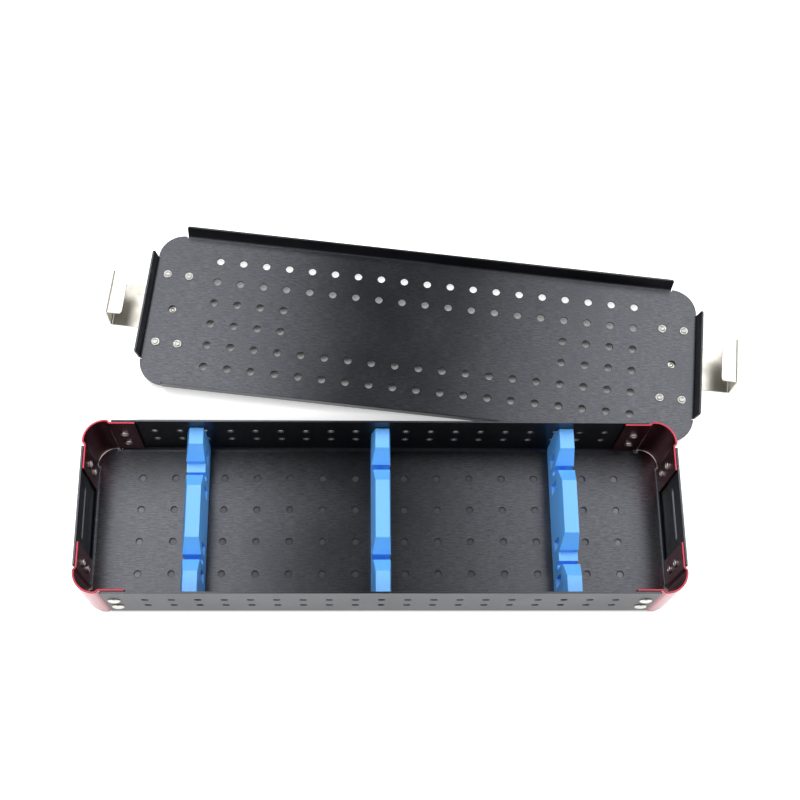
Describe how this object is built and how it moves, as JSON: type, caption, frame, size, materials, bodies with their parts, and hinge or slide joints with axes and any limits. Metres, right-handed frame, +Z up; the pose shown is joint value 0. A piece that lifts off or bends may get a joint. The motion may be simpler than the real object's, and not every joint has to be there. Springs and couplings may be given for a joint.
{
  "type": "sterilization tray box",
  "caption": "Long perforated metal instrument tray with red corner brackets and notched silicone racks, its shallow lid with sliding hook latches lying beside it.",
  "frame": {"origin": "centre of the tray's underside, on the surface that it stands on", "axes": "+X along the tray's length to the right, +Y to its rear side, +Z up"},
  "size_m": [0.5029, 0.3136, 0.0615],
  "materials": {
    "tray_black": "black anodised, brushed",
    "lid_black": "black anodised, brushed",
    "bracket_red": "red anodised",
    "rack_silicone": "smooth moulded silicone",
    "rivet_metal": "plain, lightly polished",
    "lid_rivet_metal": "plain, lightly polished",
    "guide_steel": "satin",
    "hook_steel": "satin"
  },
  "bodies": {
    "tray": {"tray_shell": "tray_black", "corner_bracket_front_left": "bracket_red", "corner_bracket_front_right": "bracket_red", "corner_bracket_rear_left": "bracket_red", "corner_bracket_rear_right": "bracket_red", "rivet_front_left_side_lower": "rivet_metal", "rivet_front_left_side_upper": "rivet_metal", "rivet_front_left_end_lower": "rivet_metal", "rivet_front_left_end_upper": "rivet_metal", "rivet_front_right_side_lower": "rivet_metal", "rivet_front_right_side_upper": "rivet_metal", "rivet_front_right_end_lower": "rivet_metal", "rivet_front_right_end_upper": "rivet_metal", "rivet_rear_left_side_lower": "rivet_metal", "rivet_rear_left_side_upper": "rivet_metal", "rivet_rear_left_end_lower": "rivet_metal", "rivet_rear_left_end_upper": "rivet_metal", "rivet_rear_right_side_lower": "rivet_metal", "rivet_rear_right_side_upper": "rivet_metal", "rivet_rear_right_end_lower": "rivet_metal", "rivet_rear_right_end_upper": "rivet_metal", "instrument_rack_left": "rack_silicone", "instrument_rack_centre": "rack_silicone", "instrument_rack_right": "rack_silicone"},
    "lid": {"lid_sheet": "lid_black", "latch_guide_left": "guide_steel", "latch_guide_right": "guide_steel", "lid_rivet_left_rear_inner": "lid_rivet_metal", "lid_rivet_left_rear_outer": "lid_rivet_metal", "lid_rivet_left_front_inner": "lid_rivet_metal", "lid_rivet_left_front_outer": "lid_rivet_metal", "lid_rivet_right_rear_inner": "lid_rivet_metal", "lid_rivet_right_rear_outer": "lid_rivet_metal", "lid_rivet_right_front_inner": "lid_rivet_metal", "lid_rivet_right_front_outer": "lid_rivet_metal"},
    "latch_left": {"latch_hook_left": "hook_steel"},
    "latch_right": {"latch_hook_right": "hook_steel"}
  },
  "joints": [
    {"name": "lid_lift", "type": "slide", "parent": "tray", "child": "lid", "axis": [0, 0, 1], "range_m": [0, 0.15]},
    {"name": "latch_left_slide", "type": "slide", "parent": "lid", "child": "latch_left", "axis": [0.9936, -0.1132, 0], "range_m": [0, 0.0242]},
    {"name": "latch_right_slide", "type": "slide", "parent": "lid", "child": "latch_right", "axis": [-0.9936, 0.1132, 0], "range_m": [0, 0.0242]}
  ]
}
